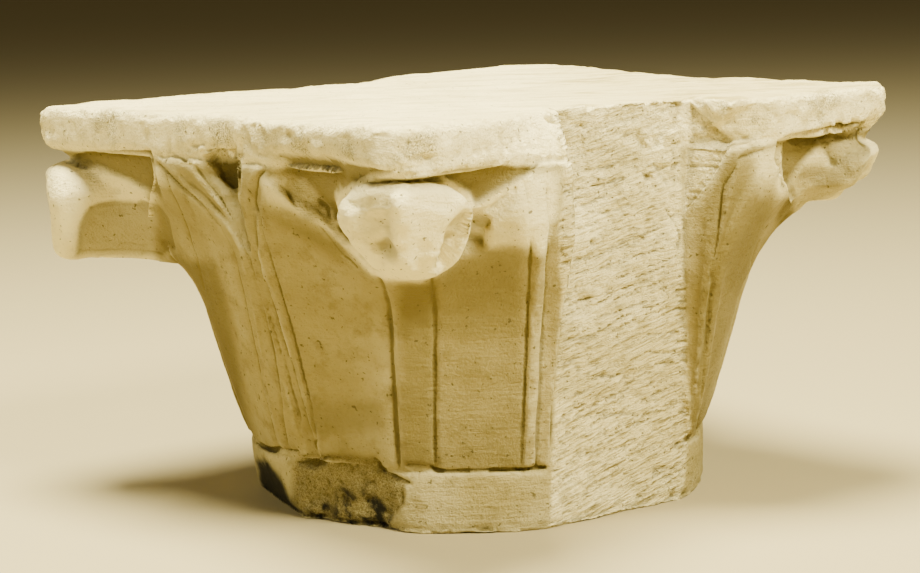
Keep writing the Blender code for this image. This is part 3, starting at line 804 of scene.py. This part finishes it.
# Painted light: the lit right half of the front crocket is painted paler.
LIT_CROCKET_SIDE = [(400, 188), (455, 194), (468, 214), (450, 240), (438, 272), (412, 274), (404, 240)]
MOSS_SPOTS = ((345, 503, 0.018), (369, 510, 0.018), (318, 519, 0.015), (345, 522, 0.017), (376, 520, 0.015))
BOUNDARY = 0.004
LEAF_TOP_EASE = 0.006
BELL_GRIME = 0.72
UNDERSIDE_SHADE = 0.30
UNDERSIDE_FACING = (0.1, 0.6)
NECK_GRIME = 0.70
CROCKET_FREE_OF_GRIME = 0.9
MOST_GRIME_AND_SHADE = 1.5
DARKENED_FACE_FEATHER = 14.0
LIT_EDGE_FEATHER = 6.0
LIT_SIDE_FEATHER = 9.0
NEAR_REACH = 0.0045
WIDE_REACH = 0.009
NEAR_HOLLOW = 0.0013
BROAD_SHADE_SCALE = 0.006
LEDGE_SHADE = (LEDGE, 8.0, 0.6)
CHEEK_SHADE = 0.72
BRUISE_SHADE = 0.60
BREAK_SHADE = 0.58
LIT_EDGE_PALE = 0.7
BAND_CLEAN = 0.54
RECESS_CLEAN = 0.8
BREAK_SOILED = 0.8
GRIME_AND_SHADE_SOILS = 0.8
GRIME_AND_SHADE_UNSEEN = 0.1
LEFT_BED_DRAGS = 0.32
RIGHT_BED = (0.02, 0.14)
above_neck = ease(points[:, 2], NECK_TOP - BOUNDARY, NECK_TOP + BOUNDARY)
on_bell = above_neck * (1.0 - ease(points[:, 2], LEAF_TOP, LEAF_TOP + LEAF_TOP_EASE))
on_neck = 1.0 - above_neck
undersides = ease(-outward[:, 2], *UNDERSIDE_FACING)
# The bell and neck are dirtier than the rest, and on the bell the faces turned down are painted darker still
# as painted shade.
grime_and_shade = on_bell * (BELL_GRIME + UNDERSIDE_SHADE * undersides) + NECK_GRIME * on_neck
broken = np.clip(band + recess + right_break, 0.0, 1.0)
grime_and_shade *= (1.0 - broken) * (1.0 - CROCKET_FREE_OF_GRIME * crocket)
for outline, amount in GRIMY_AND_SHADED_FACES:
    grime_and_shade += amount * patch(outline, DARKENED_FACE_FEATHER)
lit_edge_mask = sum(patch(outline, LIT_EDGE_FEATHER) for outline in LIT_EDGES)
# How far each place lies in a fine crease or stands out on a fine ridge.
near_mean = softened(points, NEAR_REACH)
crease_depth = np.einsum("ij,ij->i", near_mean - points, outward)
# Painted shade: how deep a place lies in a broad hollow, such as under the abacus and between crocket and
# leaf, darkens it as if in shade.
broad_shade_depth = np.einsum("ij,ij->i", softened(near_mean, WIDE_REACH) - points, outward)
# Painted shade: the sunken grounds, the ledge, the left crocket's cheek, the bruise at the front crocket's
# tip and the right break are painted olive where shade falls on them.
shaded = sunk_and_shaded + pressed(*LEDGE_SHADE)
shaded = shaded + CHEEK_SHADE * left_cheek + BRUISE_SHADE * bruise + BREAK_SHADE * right_break
# Paler where free of dirt: the top bed, abacus, crockets and the hacked band, together with the painted
# highlight on lit lips and arrises.
cleaned_and_lit = bed + LIT_EDGE_PALE * lit_edge_mask + BAND_CLEAN * band + RECESS_CLEAN * recess
cleaned_and_lit = cleaned_and_lit + crocket * (1.0 - BREAK_SOILED * right_break) + abacus
soiled_and_shaded = GRIME_AND_SHADE_SOILS * np.clip(grime_and_shade - GRIME_AND_SHADE_UNSEEN, 0.0, 1.0)
tints = {
    "hollow": 0.5 + 0.5 * np.clip(crease_depth / NEAR_HOLLOW, -1.0, 1.0),
    # Painted shade in broad hollows.
    "broad_shade": 0.5 + 0.5 * np.clip(broad_shade_depth / BROAD_SHADE_SCALE, -1.0, 1.0),
    "fresh": np.clip(band + recess, 0.0, 1.0),
    "spall": spall,
    "stain": pressed(*STAIN) + pressed(*DARK_STAIN),
    "moss": blots(MOSS_SPOTS, 100),
    # Painted shadow in the break at the left foot.
    "break_shadow": patch(FOOT_BREAK, FOOT_BREAK_FEATHER),
    # Dirt and painted shade together.
    "grime_and_shade": np.clip(grime_and_shade, 0.0, MOST_GRIME_AND_SHADE),
    # Painted shade of the sunken and shaded places.
    "sunk_and_shaded": np.clip(shaded, 0.0, 1.0),
    # Free of dirt, and painted highlight on lit lips and arrises.
    "clean_and_lit": np.clip(cleaned_and_lit - soiled_and_shaded, 0.0, 1.0),
    "bed": bed * (LEFT_BED_DRAGS + (1.0 - LEFT_BED_DRAGS) * ease(points[:, 0], *RIGHT_BED)),
    # Painted light on the right half of the front crocket.
    "lit_crocket_side": patch(LIT_CROCKET_SIDE, LIT_SIDE_FEATHER),
    "abacus": abacus * (1.0 - bed),
    "grimy": blots(GRIMY_SPOTS, 120),
}
for name, values in tints.items():
    stone.attributes.new(name, "FLOAT", "POINT").data.foreach_set("value", values.astype(np.float32))

FACES_KEPT = 194000
capital = bpy.data.objects.new("limestone_capital", stone)
bpy.context.scene.collection.objects.link(capital)
thinning = capital.modifiers.new("Thinning", "DECIMATE")
thinning.ratio = min(1.0, FACES_KEPT / (2 * len(stone.polygons)))
bpy.context.view_layer.update()
thinned = bpy.data.meshes.new_from_object(capital.evaluated_get(bpy.context.evaluated_depsgraph_get()))
capital.modifiers.clear()
capital.data = thinned
thinned.name = "limestone_capital"
thinned.shade_smooth()

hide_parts("capital")
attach(capital, "root")

# Finish: pale oolitic limestone gone buff with handling, olive brown where dirt lodged, darker where damp
# stood at the foot, and creamy on fine ridges. Painted shade darkens the sunken places, broad hollows,
# turned-down faces and the break at the left foot, and painted highlight lightens lit lips, arrises and the
# lit side of the front crocket.
PALE = (0.93, 0.825, 0.43, 1.0)
BUFF = (0.52, 0.43, 0.16, 1.0)
OLIVE = (0.165, 0.127, 0.029, 1.0)
DEEP_OLIVE = (0.060, 0.046, 0.010, 1.0)
MOSS = (0.012, 0.011, 0.004, 1.0)
# Nearly black, for the painted shadow in the break at the left foot.
BREAK_SHADOW_BLACK = (0.003, 0.003, 0.001, 1.0)
ROUGHNESS = 0.92
SPECULAR = 0.25
RELIEF_DISTANCE = 0.0034

finish = bpy.data.materials.new("limestone")
finish.use_nodes = True
nodes = finish.node_tree.nodes
links = finish.node_tree.links
shader = nodes["Principled BSDF"]
shader.inputs["Roughness"].default_value = ROUGHNESS
shader.inputs["Specular IOR Level"].default_value = SPECULAR
place_node = nodes.new("ShaderNodeTexCoord")


def feed(socket, value):
    """Give a socket either another node's output or a plain value."""
    if isinstance(value, bpy.types.NodeSocket):
        links.new(value, socket)
    else:
        socket.default_value = value


def noise(scale, detail, rough=0.6, stretch=(1.0, 1.0, 1.0), turn=(0.0, 0.0, 0.0)):
    """Noise over the block, drawn out by a stretch along axes that a turn gives."""
    mapping = nodes.new("ShaderNodeMapping")
    mapping.vector_type = "TEXTURE"
    mapping.inputs["Scale"].default_value = stretch
    mapping.inputs["Rotation"].default_value = turn
    links.new(place_node.outputs["Object"], mapping.inputs["Vector"])
    texture = nodes.new("ShaderNodeTexNoise")
    texture.inputs["Scale"].default_value = scale
    texture.inputs["Detail"].default_value = detail
    texture.inputs["Roughness"].default_value = rough
    links.new(mapping.outputs["Vector"], texture.inputs["Vector"])
    return texture.outputs["Fac"]


def ramp(value, low, high):
    """0 below low and 1 above high."""
    spread = nodes.new("ShaderNodeMapRange")
    spread.interpolation_type = "SMOOTHSTEP"
    spread.inputs["From Min"].default_value = low
    spread.inputs["From Max"].default_value = high
    feed(spread.inputs["Value"], value)
    return spread.outputs["Result"]


def combine(operation, first, second):
    """One sum, product or the like of two values."""
    step = nodes.new("ShaderNodeMath")
    step.operation = operation
    feed(step.inputs[0], first)
    feed(step.inputs[1], second)
    return step.outputs["Value"]


def tint(name):
    """One of the values kept at each point of the stone."""
    read = nodes.new("ShaderNodeAttribute")
    read.attribute_name = name
    return read.outputs["Fac"]


def product(*factors):
    """All factors multiplied, from the last one back."""
    value = factors[-1]
    for factor in reversed(factors[:-1]):
        value = combine("MULTIPLY", factor, value)
    return value


def coloured(under, over, *shares):
    """Over laid on under by the product of some shares."""
    layer = nodes.new("ShaderNodeMix")
    layer.data_type = "RGBA"
    feed(layer.inputs["Factor"], product(*shares))
    feed(layer.inputs["A"], under)
    feed(layer.inputs["B"], over)
    return layer.outputs["Result"]


# Grain of the stone, from clouds down to grit, and streaks along the ways of the tools.
clouds = noise(9.0, 6.0)
mottle = noise(60.0, 5.0, 0.65)
speckle = noise(420.0, 4.0, 0.7)
grit = noise(800.0, 3.0, 0.7)
specky = noise(260.0, 2.0, 0.5)
drags = noise(70.0, 5.0, 0.6, stretch=(5.0, 1.0, 1.0))
stroke_rise = math.atan(STROKE_SLOPE)
along_stroke = Vector((math.cos(BAND_TURN) * math.cos(stroke_rise),
                       math.sin(BAND_TURN) * math.cos(stroke_rise), math.sin(stroke_rise)))
into_band = Vector((-math.sin(BAND_TURN), math.cos(BAND_TURN), 0.0))
stroke_axes = Matrix((along_stroke, into_band, along_stroke.cross(into_band))).transposed()
strokes_fine = noise(380.0, 3.0, 0.6, stretch=(7.0, 1.5, 1.0), turn=stroke_axes.to_euler())
drags_fine = noise(300.0, 3.0, 0.6, stretch=(10.0, 2.5, 1.0))
cloudy = combine("ADD", product(clouds, 0.5), 0.43)
weathered = combine("ADD", product(tint("abacus"), 0.75), product(tint("fresh"), 0.45))
patchy = combine("ADD", product(ramp(clouds, 0.36, 0.60), 0.70), 0.22)
off_bed = combine("SUBTRACT", 0.75, product(tint("bed"), 0.75))
# The layers over the pale stone, from the lowest: colour, and the shares that say where it
# lies and how thickly.
LAYERS = (
    (BUFF, ramp(clouds, 0.38, 0.66)),
    # Buff over the dirt and the painted shade of the darker faces.
    (BUFF, tint("grime_and_shade"), 0.75),
    (OLIVE, ramp(mottle, 0.48, 0.74), 0.55),
    (DEEP_OLIVE, ramp(speckle, 0.58, 0.74), 0.52),
    # Painted shade: olive in broad hollows.
    (OLIVE, ramp(tint("broad_shade"), 0.55, 0.95), 0.65),
    # Darker in fine creases and paler on fine ridges.
    (DEEP_OLIVE, ramp(tint("hollow"), 0.56, 0.92), 0.85),
    (PALE, ramp(tint("hollow"), 0.36, 0.02), 0.75),
    # Olive over the dirt and the painted shade of the darker faces.
    (OLIVE, tint("grime_and_shade"), cloudy),
    # Paler where free of dirt, and painted highlight on lit lips and arrises.
    (PALE, tint("clean_and_lit"), 0.75),
    (BUFF, weathered, ramp(mottle, 0.46, 0.72), 0.75),
    (OLIVE, weathered, ramp(grit, 0.50, 0.74), 0.55),
    (BUFF, tint("bed"), ramp(drags, 0.40, 0.66), 0.90),
    (OLIVE, tint("bed"), ramp(drags, 0.50, 0.70), 0.62),
    (BUFF, tint("bed"), 0.52),
    (OLIVE, tint("fresh"), ramp(strokes_fine, 0.48, 0.72), patchy),
    # Painted shade: olive over the sunken grounds, ledge, cheek, bruise and right break.
    (OLIVE, tint("sunk_and_shaded"), 0.92),
    (DEEP_OLIVE, tint("grimy"), ramp(grit, 0.34, 0.70), 0.75),
    # Painted light: paler on the lit right half of the front crocket.
    (PALE, tint("lit_crocket_side"), 0.85),
    (OLIVE, tint("stain"), 0.62),
    (OLIVE, tint("spall"), 0.50),
    (DEEP_OLIVE, tint("spall"), ramp(grit, 0.38, 0.66), 0.70),
    (DEEP_OLIVE, ramp(specky, 0.66, 0.73), off_bed),
    (MOSS, tint("moss"), ramp(mottle, 0.38, 0.56)),
    # Painted shadow: nearly black in the break at the left foot.
    (BREAK_SHADOW_BLACK, tint("break_shadow"), 0.97),
)
colour = PALE
for over, *shares in LAYERS:
    colour = coloured(colour, over, *shares)
feed(shader.inputs["Base Color"], colour)

off_band = combine("SUBTRACT", 1.0, tint("fresh"))
relief = combine("ADD", product(speckle, 0.6), product(mottle, 0.9))
relief = combine("ADD", relief, product(strokes_fine, tint("fresh"), 1.5))
relief = combine("ADD", relief, product(drags_fine, off_band, 0.5))
bump = nodes.new("ShaderNodeBump")
bump.inputs["Strength"].default_value = 1.0
bump.inputs["Distance"].default_value = RELIEF_DISTANCE
feed(bump.inputs["Height"], relief)
feed(shader.inputs["Normal"], bump.outputs["Normal"])
thinned.materials.clear()
thinned.materials.append(finish)

# Stage: a plain pale floor under soft studio light from above and from the front right, with
# a weak fill from the left.
FLOOR_HALF = 40.0
FLOOR_COLOUR = (0.40, 0.335, 0.17, 1.0)
FLOOR_ROUGHNESS = 0.95
plate = bmesh.new()
bmesh.ops.create_grid(plate, x_segments=1, y_segments=1, size=FLOOR_HALF)
floor_mesh = bpy.data.meshes.new("floor")
plate.to_mesh(floor_mesh)
plate.free()
floor = bpy.data.objects.new("floor", floor_mesh)
bpy.context.scene.collection.objects.link(floor)
floor_finish = bpy.data.materials.new("floor")
floor_finish.use_nodes = True
floor_shader = floor_finish.node_tree.nodes["Principled BSDF"]
floor_shader.inputs["Base Color"].default_value = FLOOR_COLOUR
floor_shader.inputs["Roughness"].default_value = FLOOR_ROUGHNESS
floor_mesh.materials.append(floor_finish)

LIT_POINT = Vector((0.0, 0.0, 0.15))
SKY_COLOUR = (0.80, 0.66, 0.36, 1.0)
SKY_STRENGTH = 0.14
# Name, place, size in metres, power in watts and colour
LIGHTS = (
    ("key_light", (1.4, -1.9, 2.2), 0.9, 255.0, (1.0, 0.92, 0.66)),
    ("top_light", (-0.3, 0.0, 2.9), 1.4, 440.0, (1.0, 0.93, 0.68)),
    ("fill_light", (-2.3, -1.5, 1.5), 1.5, 34.0, (1.0, 0.93, 0.68)),
)
for name, place, size, power, tone in LIGHTS:
    lamp = bpy.data.lights.new(name, "AREA")
    lamp.shape = "DISK"
    lamp.size = size
    lamp.energy = power
    lamp.color = tone
    holder = bpy.data.objects.new(name, lamp)
    aim = LIT_POINT - Vector(place)
    holder.matrix_world = Matrix.Translation(place) @ aim.to_track_quat("-Z", "Y").to_matrix().to_4x4()
    bpy.context.scene.collection.objects.link(holder)

sky = bpy.data.worlds.new("studio")
sky.use_nodes = True
sky.node_tree.nodes["Background"].inputs["Color"].default_value = SKY_COLOUR
sky.node_tree.nodes["Background"].inputs["Strength"].default_value = SKY_STRENGTH
bpy.context.scene.world = sky
